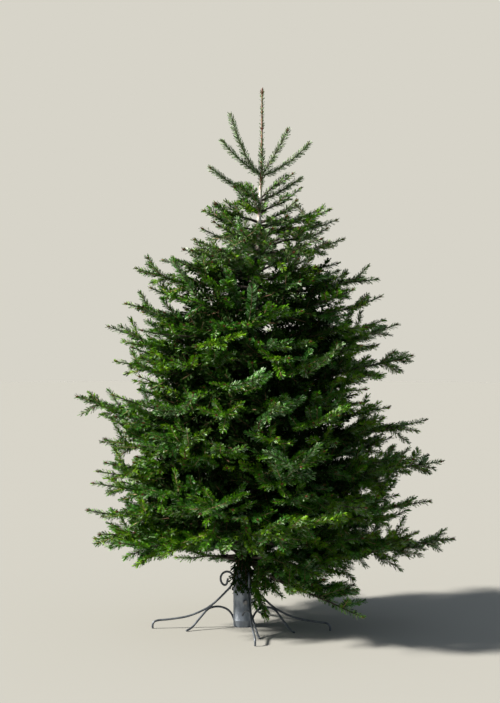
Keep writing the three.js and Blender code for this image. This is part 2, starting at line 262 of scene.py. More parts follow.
def crown_reach(z, bearing):
    away = np.abs((TIPS[:, 0] - bearing + 180) % 360 - 180)
    w = np.exp(-((TIPS[:, 2] - z) / 95) ** 2 - (away / 38) ** 2) + 1e-6 * np.exp(-((TIPS[:, 2] - z) / 150) ** 2)
    return float((w * TIPS[:, 1]).sum() / w.sum())


def fan_width(reach, share):
    full = (0.32 * reach + 30) * share
    return lambda u: full * along(FAN, u)[0]


for tag, z, start, thick, boughs in WHORLS:
    slim = tag in "kl"
    for i, spec in enumerate(boughs):
        bearing, reach, tip, slope = spec[:4]
        lift = spec[4] if len(spec) > 4 else 0
        name = ("shoot_" if slim else "foliage_") + tag + str(i + 1)
        if slim:
            b = bough(name, z, bearing, reach, tip, slope, slim=True, bare=0.06)
            if tag == "k":
                sprout(b, None, 3, 0.36, 0)
            continue
        b = bough(name, z, bearing, reach, tip, slope, lift)
        sprout(b, fan_width(reach, 1.0), 1, 0.62, 0.85)
        # lesser boughs from the trunk, above and below
        for m in range(2 if reach > 480 else 1):
            sign = 1 if (i + m) % 2 or tag == "a" and bearing == 318 else -1
            share = rng.uniform(0.72, 0.9)
            up = rng.uniform(0.4, 0.9) * thick * (1, -1)[m]
            if tag == "a":
                up = abs(up) * 0.5
                share *= 0.9
            if tag == "b" and 240 < bearing < 300:
                up = abs(up) + 10
            c = bough(name, z, bearing + sign * rng.uniform(10, 22), reach * share, tip + up * 1.1 - (tip - z) * 0.15, slope + rng.uniform(-0.05, 0.2), lift + up * 0.9, bare=0.3)
            sprout(c, fan_width(reach * share, 0.85), 1, 0.52, 0.5)

# boughs that fill the crown between the whorls, all the way round
FILL = 84
for n in range(FILL):
    tip = 330 + (1490 - 330) * ((n + 0.5) / FILL) ** 1.12 + rng.uniform(-20, 20)
    bearing = (n * 137.508 + rng.uniform(-14, 14)) % 360
    reach = crown_reach(tip, bearing) * (rng.uniform(0.68, 0.86) + 0.1 * abs(math.sin(math.radians(bearing))))
    if 212 < bearing < 304 and tip < 470:
        tip += 110
    if math.cos(math.radians(bearing)) > 0.7 and 850 < tip < 990:
        reach *= 0.74
    foot = tip - reach * rng.uniform(0.06, 0.24)
    name = "foliage_" + ("a3" if foot < 330 else "b1" if foot < 480 else "c1" if foot < 640 else "d1" if foot < 800 else "e1" if foot < 950 else "f1" if foot < 1090 else "g1" if foot < 1220 else "h1" if foot < 1335 else "i1")
    b = bough(name, foot, bearing, reach, tip, rng.uniform(0.1, 0.45), bare=0.34)
    sprout(b, fan_width(reach, 0.95), 1, 0.54, 0.7)

for z, bearing, reach, tip, slope in [(470, 181, 575, 545, 0.1), (520, 189, 560, 600, 0.15), (600, 175, 540, 705, 0.25), (760, 186, 500, 800, 0.2), (310, 199, 560, 380, 0.05)]:
    b = bough("foliage_" + ("a3" if z < 400 else "b3" if z < 500 else "c4" if z < 650 else "d4"), z, bearing, reach, tip, slope, bare=0.34)
    sprout(b, fan_width(reach, 0.95), 1, 0.58, 0.8)

for z, bearing, reach, tip, slope in UPPER:
    b = bough("foliage_j1" if z > 1480 else "foliage_i1", z, bearing, reach, tip, slope, bare=0.12)
    sprout(b, None, 2, 0.5, 0)

# shoots of the inside of the crown; their side shoots near the trunk get near-black needles as painted shade
for n in range(96):
    z = 430 + 720 * (n + rng.random()) / 96
    reach = crown_radius(z) * rng.uniform(0.4, 0.66)
    b = bough("foliage_" + ("b1" if z < 480 else "c1" if z < 640 else "d1" if z < 800 else "e1" if z < 950 else "f1" if z < 1090 else "g1" if z < 1220 else "h1"),
              z, n * 137.508 + 60 + rng.uniform(-15, 15), reach, z + reach * rng.uniform(0.0, 0.5), rng.uniform(0.1, 0.6), bare=0.2)
    sprout(b, None, 2, 0.55, 0)

# short shoots round the trunk of the upper half
for n in range(26):
    z = rng.uniform(860, 1530)
    reach = crown_radius(z) * rng.uniform(0.35, 0.65)
    b = bough("foliage_" + ("e1" if z < 960 else "f1" if z < 1090 else "g1" if z < 1220 else "h1" if z < 1350 else "i1"),
              z, n * 137.5 + rng.uniform(-20, 20), reach, z + reach * rng.uniform(0.15, 0.5), rng.uniform(0.3, 0.7), bare=0.2)
    sprout(b, None, 2, 0.5, 0)

# low sprays that hang beside the tube
for z, bearing, reach, tip, slope in LOW:
    b = bough("foliage_a2", z, bearing, reach, tip, slope, bare=0.2)
    sprout(b, None, 1, 0.5, 0.6 if reach > 200 else 0, 12 if slope < -0.1 else 30)

# shoots that stand out before the crown, each from the nearest limb
wood = np.concatenate([b["p"] for b in branches if b["order"] == 0] + [[trunk_at(z) for z in range(300, 1720, 20)]])
for tag, tint, turn, tip in FRONT:
    turn, tip = np.array(turn, float), np.array(tip, float)
    foot = wood[np.linalg.norm(wood - turn, axis=1).argmin()]
    n = max(4, int((np.linalg.norm(turn - foot) + np.linalg.norm(tip - turn)) / 26))
    line = [foot * (1 - u) ** 2 + turn * 2 * u * (1 - u) + tip * u * u + rng.normal(0, 1.5, 3) * math.sin(math.pi * u) for u in np.linspace(0, 1, n + 1)]
    first = len(branches)
    long = np.linalg.norm(tip - foot)
    b = add(line, 1.5 + long * 0.007, 1.2, 1, "foliage_" + tag, tint, density=1.3 if tint != 7 else 0.9, size=1.05)
    if long > 90 and (tip - turn)[2] < 0.8 * np.linalg.norm(tip - turn):
        sprout(b, None, 2, 0.44, 0, 16)
    for c in branches[first:]:
        c["front"] = True
        c["shine"] = tint == 3

# the leader's own needles
leader = [trunk_at(z) for z in np.linspace(1712, 2016, 12)]
add(leader, 0, 0, 9, "foliage_j1", 3, mode="leader", density=0.5, size=0.62)
add([trunk_at(z) for z in np.linspace(1655, 1806, 6)], 4, 3, 9, "foliage_j1", 7, mode="brush", density=1.25, size=0.85)
add([trunk_at(z) for z in np.linspace(1560, 1604, 4)], 6, 5, 9, "foliage_j1", 7, mode="brush", density=1.1, size=0.9)
add([trunk_at(z) for z in np.linspace(1462, 1506, 4)], 7, 6, 9, "foliage_j1", 7, mode="brush", density=1.1, size=1.0)

# shoots that hang round the foot of the crown in front of the tube's mouth; their needles are near-black, painted shade
for bearing in (226, 243, 258, 272, 287, 303, 320, 338):
    a = math.radians(bearing + rng.uniform(-5, 5))
    out = np.array([math.cos(a), math.sin(a), 0])
    drop = rng.uniform(118, 150)
    pts = [trunk_at(285) * [1, 1, 0] + out * (20 + 34 * u ** 0.7 + 8 * u) + Z * (292 - drop * u ** 1.3) for u in np.linspace(0, 1, 7)]
    add(pts, 2.0, 1.1, 2, "foliage_a2", 1, size=0.95)["hang"] = True

inside = 0.0
total = 0.0
for b in branches:
    mid = b["p"][len(b["p"]) // 2]
    centre = trunk_at(mid[2])
    r = math.hypot(mid[0] - centre[0], mid[1] - centre[1])
    # deep: side shoots near the trunk, and the hanging shoots, get the near-black needles of painted shade
    b["deep"] = b["order"] > 0 and r < 0.55 * crown_radius(mid[2]) and 400 < mid[2] < 1350 and not b.get("front", False) or b.get("hang", False)
    # glint is the share of a branch's needles painted pale as painted glints; front shoots marked shine get more of
    # them
    b["glint"] = 0.0 if b["deep"] else 0.34 if b["mode"] != "comb" else 0.3 if b.get("shine") else rng.choice([0.02, 0.07, 0.3], p=[0.5, 0.36, 0.14])
    if b["deep"]:
        b["density"] *= 0.32
        b["size"] *= 1.2
    tip = b["p"][-1]
    axis = trunk_at(min(tip[2], 2010))
    # needle_grey share: at the crown's outer tips the grey is painted shade, for the dull look of the shaded, back-lit
    # rim; above 1380 mm it is the top shoots' own greyish colour
    b["grey"] = 0.0 if b["mode"] != "comb" else 0.5 * min(max((math.hypot(*(tip - axis)[:2]) / crown_radius(max(tip[2], 200)) - 0.72) / 0.3, 0), 1)
    if tip[2] > 1380:
        b["grey"] = 0.15 if b.get("front") and b["tint"] != 7 else max(b["grey"], 0.55)
    if b["order"] == 0 and b["mode"] == "comb":
        b["bare"] = max(b["bare"], b["length"] - 300)
        b["density"] *= 0.7
    total += (b["length"] - min(b["bare"], b["length"])) * b["density"] * (1 if b["deep"] else 2)
    inside += b["length"] if b["deep"] else 0
per_mm = NEEDLE_TRIANGLES / total
print("branches", len(branches), "metres", round(sum(b["length"] for b in branches) / 1000, 1), "inside", round(inside / 1000, 1), "needles per cm", round(per_mm * 10, 2))

# ------------------------------------------------------------------ meshes from arrays


def material(name, color, rough=0.5, metal=0.0, spec=0.5, coat=0.0, sheen=0.0):
    m = bpy.data.materials.new(name)
    m.use_nodes = True
    p = m.node_tree.nodes["Principled BSDF"]
    p.inputs["Base Color"].default_value = (*color, 1)
    p.inputs["Roughness"].default_value = rough
    p.inputs["Metallic"].default_value = metal
    p.inputs["Specular IOR Level"].default_value = spec
    p.inputs["Coat Weight"].default_value = coat
    m.diffuse_color = (*color, 1)
    return m


def mesh_object(name, verts, faces, mats, index=None, smooth=False):
    """faces is an array of one width, 3 or 4."""
    me = bpy.data.meshes.new(name)
    n, w = faces.shape
    me.vertices.add(len(verts))
    me.vertices.foreach_set("co", np.ascontiguousarray(verts / 1000.0, np.float32).ravel())
    me.loops.add(n * w)
    me.loops.foreach_set("vertex_index", np.ascontiguousarray(faces, np.int32).ravel())
    me.polygons.add(n)
    me.polygons.foreach_set("loop_start", np.arange(0, n * w, w, dtype=np.int32))
    me.polygons.foreach_set("loop_total", np.full(n, w, np.int32))
    for m in mats:
        me.materials.append(m)
    if index is not None:
        me.polygons.foreach_set("material_index", np.ascontiguousarray(index, np.int32))
    me.polygons.foreach_set("use_smooth", np.full(n, smooth, bool))
    me.update(calc_edges=True)
    me.validate()
    ob = bpy.data.objects.new(name, me)
    bpy.context.scene.collection.objects.link(ob)
    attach(ob, "root")
    return ob


def cross_rows(a, b):
    return np.cross(a, b)


def rows_unit(v):
    return v / np.maximum(np.linalg.norm(v, axis=1), 1e-9)[:, None]


def needles_of(b):
    """Foot, direction, face normal, length and angle about the twig of each needle on a branch."""
    start = min(b["bare"], b["length"] - 5)
    run = b["length"] - start
    n = int(run * per_mm * b["density"] + rng.random())
    if n < 1:
        return None
    s = start + (np.arange(n) + rng.random(n)) * run / n
    base = np.stack([np.interp(s, b["s"], b["p"][:, k]) for k in range(3)], 1)
    tang = np.gradient(b["p"], axis=0)
    t = rows_unit(np.stack([np.interp(s, b["s"], tang[:, k]) for k in range(3)], 1))
    side = np.cross(np.tile(Z, (n, 1)), t)
    flat = np.linalg.norm(side, axis=1) < 0.25
    side[flat] = np.cross(np.array([0.3, 1.0, 0.1]), t[flat])
    side = rows_unit(side)
    up = np.cross(t, side)
    steep = np.abs(t[:, 2])
    pick = rng.random(n)
    sign = np.where(rng.random(n) < 0.5, 1.0, -1.0)
    sides, top = pick < 0.62, (pick >= 0.62) & (pick < 0.86)
    theta = np.where(sides, rng.uniform(58, 122, n), np.where(top, rng.uniform(18, 58, n), rng.uniform(122, 170, n))) * sign
    round_about = (steep > (0.99 if b.get("front") else 0.72)) | (b["mode"] != "comb")
    theta = np.where(round_about, rng.uniform(-180, 180, n), theta)
    theta = np.radians(theta)
    lean = np.where(sides, rng.normal(53, 6, n), rng.normal(46, 7, n))
    lean = np.where(round_about, rng.normal(47, 8, n), lean)
    if b["mode"] == "leader":
        lean = rng.normal(40, 10, n)
    near_tip = np.clip((b["length"] - s) / 20.0, 0, 1)
    lean = np.radians(lean * (0.5 + 0.5 * near_tip))
    radial = up * np.cos(theta)[:, None] + side * np.sin(theta)[:, None]
    d = t * np.cos(lean)[:, None] + radial * np.sin(lean)[:, None]
    d = rows_unit(d + rng.normal(0, 0.045, (n, 3)))
    length = NEEDLE["length"] * b["size"] * np.where(np.abs(theta) < 1.0, 0.84, 1.0) * rng.uniform(0.9, 1.07, n)
    length *= 0.72 + 0.28 * np.clip((s - start) / 15.0 + 0.4, 0, 1)
    nrm = np.where(round_about[:, None], -t + radial * 0.6, up + radial * 0.45)
    nrm = nrm + rng.normal(0, 0.55, (n, 3))
    nrm = rows_unit(nrm - d * np.sum(nrm * d, 1)[:, None])
    r = np.interp(s / b["length"], [0, 1], [b["r0"], b["r1"]]) if b["order"] != 9 else np.full(n, 2.6)
    band = rng.random(2 * int(b["length"] / 6.5) + 2)[2 * (s / 6.5).astype(int) + (theta > 0)]
    return base + radial * (r * 0.7)[:, None], d, nrm, length, theta, band


GREENS = [
    material("needle_green_mid", (0.083, 0.228, 0.0062), 0.36, spec=0.2),
    material("needle_green_deep", (0.050, 0.162, 0.0058), 0.34, spec=0.2),
    material("needle_green_yellow", (0.128, 0.276, 0.0060), 0.38, spec=0.18),
    material("needle_green_blue", (0.054, 0.188, 0.024), 0.32, spec=0.28),
    material("needle_green_young", (0.150, 0.306, 0.0065), 0.40, spec=0.18),
    # needle_pale_and_glint: the pale colour of needle undersides, also used for painted glints
    material("needle_pale_and_glint", (0.245, 0.355, 0.195), 0.45, spec=0.3),
    # needle_inner_shade: near-black needles put inside the crown as painted shade
    material("needle_inner_shade", (0.014, 0.038, 0.004), 0.55, spec=0.1),
    material("needle_grey", (0.140, 0.182, 0.082), 0.42, spec=0.2),
]
PALE_AND_GLINT, INNER_SHADE, GREY = 5, 6, 7

GROUPS = {
    "needles_low_right": "a12", "needles_low_left": "a345", "needles_b": "b", "needles_c": "c", "needles_d": "d", "needles_e": "e", "needles_f": "f", "needles_g": "g", "needles_h": "h", "needles_top": "ijkl",
}


def piece_of(node):
    """The needle piece that stands for a node: by tier, and for the lowest tier by side too."""
    tag, number = node.split("_")[1][:2]
    return next(g for g, tags in GROUPS.items() if tag in tags and (tag != "a" or number in tags))


def group_of(b):
    return piece_of(b["group"])


masses = {g: [] for g in GROUPS}
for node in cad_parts:
    if node.startswith(("foliage_", "shoot_")):
        masses[piece_of(node)].append(node)

count = 0
for g in [*GROUPS, "needles_inner_shade"]:
    deep = g == "needles_inner_shade"
    V, F, M = [], [], []
    offset = 0
    for b in branches:
        if b["deep"] != deep or not deep and group_of(b) != g:
            continue
        made = needles_of(b)
        if made is None:
            continue
        p, d, nrm, length, theta, band = made
        n = len(p)
        w = np.cross(nrm, d)
        tip = p + d * length[:, None]
        f, e = NEEDLE["foot"] / 2, NEEDLE["end"] / 2 * rng.uniform(0.85, 1.12, n)[:, None]
        # the needles of the crown's inside are wide near-black triangles: painted shade
        if deep:
            V.append(np.stack([p, tip + w * e * 3.4, tip - w * e * 3.4], 1).reshape(-1, 3))
            F.append(offset + np.arange(n)[:, None] * 3 + [0, 1, 2])
            M.append(np.full(n, INNER_SHADE))
            offset += 3 * n
            continue
        twist = nrm * (e * rng.normal(0, 0.35, n)[:, None])
        V.append(np.stack([p - w * f, p + w * f, tip + w * e + twist, tip - w * e - twist], 1).reshape(-1, 3))
        F.append(offset + np.arange(n)[:, None] * 4 + [0, 1, 2, 3])
        # pale needles: many below the twig in the undersides' own pale colour, and a random share as painted glints
        under = (np.abs(theta) > 2.3) & (rng.random(n) < 0.45)
        tints = np.where(rng.random(n) < b["grey"], GREY, b["tint"])
        tints = np.where(under | (rng.random(n) < b["glint"]), PALE_AND_GLINT, tints)
        # needles lie in small tufts; some tufts get near-black needles and others darker green ones, as painted shade
        # from the next tuft
        if b["mode"] == "comb":
            tints = np.where(band < 0.15, INNER_SHADE, np.where(band < 0.3, 1, tints))
        M.append(tints)
        offset += 4 * n
    V, F, M = np.concatenate(V), np.concatenate(F), np.concatenate(M)
    ob = mesh_object(g, V, F, GREENS, M)
    if not deep:
        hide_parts(*masses[g])
    made = len(F) * (F.shape[1] - 2)
    count += made
    print(g, made)
print("needle triangles", count)


# ------------------------------------------------------------------ twigs, buds and limbs
def tube(points, radii, sides, twist=0.0):
    """Rings round a line of points: vertices and quads."""
    p = np.asarray(points, float)
    t = rows_unit(np.gradient(p, axis=0))
    ref = Z if abs(t[0] @ Z) < 0.9 else np.array([1.0, 0, 0])
    a = ref - t[0] * (ref @ t[0])
    rings = []
    for i in range(len(p)):
        a = unit(a - t[i] * (a @ t[i]))
        c = np.cross(t[i], a)
        ang = np.arange(sides) * 2 * math.pi / sides + twist
        rings.append(p[i] + radii[i] * (np.cos(ang)[:, None] * a + np.sin(ang)[:, None] * c))
    v = np.concatenate(rings)
    k = np.arange(sides)
    nxt = (k + 1) % sides
    f = np.concatenate([np.stack([i * sides + k, i * sides + nxt, (i + 1) * sides + nxt, (i + 1) * sides + k], 1) for i in range(len(p) - 1)])
    return v, f


def gather(parts):
    V, F, offset = [], [], 0
    for v, f in parts:
        V.append(v)
        F.append(f + offset)
        offset += len(v)
    return np.concatenate(V), np.concatenate(F)


twig_young = material("twig_young", (0.42, 0.26, 0.16), 0.55, spec=0.3)
twig_old = material("twig_old", (0.125, 0.070, 0.043), 0.75, spec=0.2)
bud_brown = material("bud_brown", (0.10, 0.030, 0.014), 0.4, spec=0.3)

parts, index = [], []
for b in branches:
    if b["order"] in (0, 9):
        continue
    pts = b["p"]
    if b["deep"] and len(pts) > 3:
        pts = pts[[*range(0, len(pts) - 1, 2), -1]]
    sides = 4 if b["r0"] > 2.2 and not b["deep"] else 3
    v, f = tube(pts, np.linspace(b["r0"], b["r1"], len(pts)), sides)
    parts.append((v, f))
    index.append(np.full(len(f), 1 if b["r0"] > 2.3 or b["deep"] else 0))
V, F = gather(parts)
twigs = mesh_object("twigs", V, F, [twig_young, twig_old], np.concatenate(index), smooth=True)
print("twig triangles", 2 * len(F))

BUD = np.array([[0, 0, -0.35], [1, 0, 0], [0, 1, 0], [-1, 0, 0], [0, -1, 0], [0, 0, 1.0]])
BUD_F = np.array([[0, 2, 1], [0, 3, 2], [0, 4, 3], [0, 1, 4], [5, 1, 2], [5, 2, 3], [5, 3, 4], [5, 4, 1]])
parts = []
for b in branches:
    if b["deep"]:
        continue
    p, t = b["p"][-1], unit(b["p"][-1] - b["p"][-2])
    a = unit(np.cross(t, Z)) if abs(t[2]) < 0.9 else unit(np.cross(t, np.array([1.0, 0, 0])))
    c = np.cross(t, a)
    big = b["order"] in (0, 9)
    for k in range(3 if big else 2 if b["order"] < 2 else 1):
        if b["order"] > 2 and b["tint"] < 2:
            continue
        d = t if k == 0 else unit(t + a * (0.8 if k == 1 else -0.8))
        e1 = unit(np.cross(d, c))
        e2 = np.cross(d, e1)
        size, r = (12.5, 4.8) if big and k == 0 else (9.0, 3.6) if big else (6.5, 2.7) if b["order"] < 2 else (5.5, 2.2)
        parts.append((p + d * 0.8 + (BUD[:, :1] * e1 + BUD[:, 1:2] * e2) * r + BUD[:, 2:] * d * size, BUD_F))
# buds of the leader: a ring half-way up and a crown of them at the top
for height, reach, size, r in ((1872, 3.0, 8.0, 3.4), (2004, 2.2, 11.0, 4.4), (2008, 1.5, 9.0, 4.0)):
    for k in range(5):
        a = k * 2 * math.pi / 5 + height
        d = unit(np.array([math.cos(a), math.sin(a), 0.9]))
        e1 = unit(np.cross(d, Z))
        e2 = np.cross(d, e1)
        parts.append((trunk_at(height) + d * reach + (BUD[:, :1] * e1 + BUD[:, 1:2] * e2) * r + BUD[:, 2:] * d * size, BUD_F))
V, F = gather(parts)
buds = mesh_object("buds", V, F, [bud_brown])
print("bud triangles", len(F))

def textured(name, scale, stretch, stops, rough, bump, distance, metal=0.0, spec=0.5):
    """Base colour, roughness and bump from noise in the object's own space."""
    m = bpy.data.materials.new(name)
    m.use_nodes = True
    nt = m.node_tree
    pr = nt.nodes["Principled BSDF"]
    pr.inputs["Metallic"].default_value = metal
    pr.inputs["Specular IOR Level"].default_value = spec
    tex = nt.nodes.new("ShaderNodeTexCoord")
    mapping = nt.nodes.new("ShaderNodeMapping")
    mapping.inputs["Scale"].default_value = stretch
    nt.links.new(tex.outputs["Object"], mapping.inputs["Vector"])
    fields = []
    for k in (1.0, 3.2):
        noise = nt.nodes.new("ShaderNodeTexNoise")
        noise.inputs["Scale"].default_value = scale * k
        noise.inputs["Detail"].default_value = 6
        noise.inputs["Roughness"].default_value = 0.62
        nt.links.new(mapping.outputs["Vector"], noise.inputs["Vector"])
        fields.append(noise.outputs["Fac"])
    ramp = nt.nodes.new("ShaderNodeValToRGB")
    while len(ramp.color_ramp.elements) < len(stops):
        ramp.color_ramp.elements.new(0.5)
    for element, (at, color) in zip(ramp.color_ramp.elements, stops):
        element.position = at
        element.color = (*color, 1)
    nt.links.new(fields[0], ramp.inputs["Fac"])
    nt.links.new(ramp.outputs["Color"], pr.inputs["Base Color"])
    spread = nt.nodes.new("ShaderNodeMapRange")
    for key, v in (("From Min", 0.3), ("From Max", 0.7), ("To Min", rough[0]), ("To Max", rough[1])):
        spread.inputs[key].default_value = v
    nt.links.new(fields[1], spread.inputs["Value"])
    nt.links.new(spread.outputs["Result"], pr.inputs["Roughness"])
    bumps = nt.nodes.new("ShaderNodeBump")
    bumps.inputs["Strength"].default_value = bump
    bumps.inputs["Distance"].default_value = distance
    nt.links.new(fields[1], bumps.inputs["Height"])
    nt.links.new(bumps.outputs["Normal"], pr.inputs["Normal"])
    m.diffuse_color = (*stops[len(stops) // 2][1], 1)
    return m


# limbs: the bough's own wood, with rings of scars
bark_mat = textured("bark", 85, (1, 1, 0.45), [(0.34, (0.018, 0.013, 0.009)), (0.55, (0.052, 0.039, 0.029)), (0.70, (0.108, 0.085, 0.066))], (0.7, 0.95), 0.7, 0.003)

parts = []
for b in branches:
    if b["order"] != 0:
        continue
    n = max(6, int(b["length"] / 23))
    s = np.linspace(0, b["length"], n)
    pts = np.stack([np.interp(s, b["s"], b["p"][:, k]) for k in range(3)], 1)
    u = s / b["length"]
    r = b["r0"] * (1 - u) ** 0.8 + b["r1"] * (1 - (1 - u) ** 0.8)
    r = r * (1 + 0.07 * np.sin(s * 0.23 + b["r0"] * 9) + rng.normal(0, 0.035, n))
    r[0] *= 1.35
    parts.append(tube(pts, r, 6))
V, F = gather(parts)
V = V + rng.normal(0, 0.12, V.shape)
limbs = mesh_object("limbs", V, F, [bark_mat], smooth=True)
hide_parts(*[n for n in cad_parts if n.startswith("bough_")])
print("limb triangles", 2 * len(F))

# trunk with bark relief: scars in rings, blisters, swellings where boughs leave
pale_mat = textured("bark_pale", 70, (1, 1, 0.5), [(0.32, (0.16, 0.12, 0.095)), (0.43, (0.42, 0.38, 0.33)), (0.56, (0.68, 0.65, 0.60))], (0.65, 0.9), 0.6, 0.002)
leader_mat = textured("bark_leader", 110, (1, 1, 0.4), [(0.36, (0.095, 0.034, 0.018)), (0.66, (0.240, 0.115, 0.070))], (0.5, 0.75), 0.4, 0.0015)
sides, step = 36, 6.0
zs = np.concatenate([[5.3], np.arange(8, 2016, step), [2018]])
ang = np.arange(sides) * 2 * math.pi / sides
rings = []
feet = [(b["p"][0][2], math.atan2(*(b["p"][1] - b["p"][0])[[1, 0]]), b["r0"]) for b in branches if b["order"] == 0]
for z in zs:
    c, r = trunk_at(z), trunk_radius(z)
    relief = 0.022 * np.sin(3 * ang + z * 0.012) + 0.014 * np.sin(7 * ang - z * 0.05) + 0.012 * np.sin(13 * ang + z * 0.11)
    scar = 0.03 * max(0, math.sin(z * 0.21 + 2 * math.sin(z * 0.013))) ** 6
    rr = r * (1 + relief * min(1, r / 12) + scar * (0.5 + 0.5 * np.sin(2 * ang + z))) + rng.normal(0, 0.14 * min(1, r / 8), sides)
    for fz, fa, fr in feet:
        if abs(fz - z) < 26:
            diff = np.angle(np.exp(1j * (ang - fa)))
            rr = rr + fr * 0.42 * math.exp(-((fz - z) / (fr * 1.7)) ** 2) * np.exp(-(diff * r / (fr * 1.5)) ** 2)
    if z < 224:
        rr = np.minimum(rr, 31.4 - math.hypot(c[0], c[1]))
    rings.append(np.stack([c[0] + rr * np.cos(ang), c[1] + rr * np.sin(ang), np.full(sides, z)], 1))
V = np.concatenate(rings)
k = np.arange(sides)
nxt = (k + 1) % sides
F = np.concatenate([np.stack([i * sides + k, i * sides + nxt, (i + 1) * sides + nxt, (i + 1) * sides + k], 1) for i in range(len(zs) - 1)])
zf = V[F].mean(1)[:, 2] + rng.normal(0, 12, len(F))
pale_part = (zf > 1600) & (zf < 1656) | (zf > 1502) & (zf < 1562) | (zf > 1418) & (zf < 1468)
idx = np.where(pale_part, 1, np.where(zf > 1468, 2, 0))
low, high = len(V), len(V) + 1
V = np.concatenate([V, [[*trunk_at(5.3)[:2], 5.3]], [[*trunk_at(2020)[:2], 2019.5]]])
caps = np.concatenate([np.stack([np.full(sides, low), nxt, k, k], 1)[:, :3], np.stack([np.full(sides, high), (len(zs) - 1) * sides + k, (len(zs) - 1) * sides + nxt], 1)])
tri = np.concatenate([F[:, [0, 1, 2]], F[:, [0, 2, 3]], caps])
idx = np.concatenate([idx, idx, np.zeros(sides, int), np.full(sides, 2)])
trunk = mesh_object("trunk_bark", V, tri, [bark_mat, pale_mat, leader_mat], idx, smooth=True)
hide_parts("trunk")
print("trunk triangles", len(tri))

# ------------------------------------------------------------------ the stand: bars, tube and screws made round, in painted iron
IRON = [(0.30, (0.100, 0.118, 0.150)), (0.50, (0.225, 0.255, 0.300)), (0.74, (0.390, 0.425, 0.475))]
iron = textured("iron", 34, (1, 1, 0.5), IRON, (0.30, 0.52), 0.35, 0.0012, metal=0.4)
# the bars take the tube's iron at 0.42 of its brightness: painted shade, for the darker look of the thin bars beside
# the lit tube
bar_iron_shaded = textured("iron_bar_shaded", 34, (1, 1, 0.5), [(at, tuple(0.42 * c for c in color)) for at, color in IRON], (0.34, 0.56), 0.35, 0.0012, metal=0.4)
weld = textured("iron_weld", 150, (1, 1, 1), [(0.35, (0.050, 0.056, 0.068)), (0.68, (0.165, 0.175, 0.190))], (0.4, 0.65), 0.9, 0.002, metal=0.4)
steel = textured("screw_steel", 120, (1, 1, 1), [(0.3, (0.16, 0.16, 0.17)), (0.7, (0.36, 0.36, 0.37))], (0.28, 0.5), 0.4, 0.0006, metal=0.8)

BAR = 4.0
TUBE = {"outer": 35.0, "inner": 32.0, "height": 222.0, "floor": 5.0}
LEG_OFFSET, LEG_SPLAY, WELD = 19.0, 0.082, 119.0
LEGS = [("right", -8, -1, 38), ("back", 90, -1, 20), ("left", 180, 1, 38), ("front", 270, 1, 18)]  # side, bearing, hand, angle of the toe
LEG_LINE = [(337.5, -3), (338.5, 12), (334, 23.5), (323, 29.5), (288, 33), (250, 37), (217, 42), (193, 48.5), (169, 57.5), (145, 68.5), (124, 80),
            (106, 94), (85, 113), (62, 136), (47, 152), (38, 166), (33.2, 182), (36, 198), (47, 209), (60, 212), (73, 206.5), (81, 195), (82, 181),
            (77, 168), (68.5, 161), (61, 163), (57.5, 173), (54.5, 186)]
TOE_LINE = [(112, 6), (108, 20), (98, 39), (82, 56), (58, 69), (30, 76), (0, 75.5), (-18, 69), (-45, 48), (-63, 33), (-85, 15), (-102, 6.5), (-116, 3.2)]
SCREW = {"z": 98.0, "radius": 5.0, "head": 9.5, "height": 8.0, "first": -76.4, "count": 2}


def smooth_line(points, per=7):
    """A centripetal spline through the points."""
    q = [np.array(p, float) for p in points]
    q = [2 * q[0] - q[1]] + q + [2 * q[-1] - q[-2]]
    line = []
    for i in range(1, len(q) - 2):
        p0, p1, p2, p3 = q[i - 1:i + 3]
        d0, d1, d2 = [max(math.sqrt(np.linalg.norm(b - a)), 1e-4) for a, b in ((p0, p1), (p1, p2), (p2, p3))]
        m1 = ((p1 - p0) / d0 - (p2 - p0) / (d0 + d1) + (p2 - p1) / d1) * d1
        m2 = ((p2 - p1) / d1 - (p3 - p1) / (d1 + d2) + (p3 - p2) / d2) * d1
        for k in range(per):
            t = k / per
            line.append((2 * t ** 3 - 3 * t ** 2 + 1) * p1 + (t ** 3 - 2 * t ** 2 + t) * m1 + (-2 * t ** 3 + 3 * t ** 2) * p2 + (t ** 3 - t ** 2) * m2)
    return np.array(line + [q[-2]])


def rod(points, radius, sides=14):
    """A round bar along a line, its ends closed with a small chamfer."""
    p = np.asarray(points, float)
    d0, d1 = unit(p[0] - p[1]), unit(p[-1] - p[-2])
    p = np.concatenate([[p[0]], [p[0] - d0 * 0.8], p[1:-1], [p[-1] - d1 * 0.8], [p[-1]]])
    r = np.full(len(p), float(radius))
    r[0] = r[-1] = radius * 0.82
    v, f = tube(p, r, sides)
    k = np.arange(sides)
    nxt = (k + 1) % sides
    last = (len(p) - 1) * sides
    low, high = len(v), len(v) + 1
    v = np.concatenate([v, [p[0]], [p[-1]]])
    tri = np.concatenate([f[:, [0, 1, 2]], f[:, [0, 2, 3]], np.stack([np.full(sides, low), nxt, k], 1), np.stack([np.full(sides, high), last + k, last + nxt], 1)])
    return v, tri


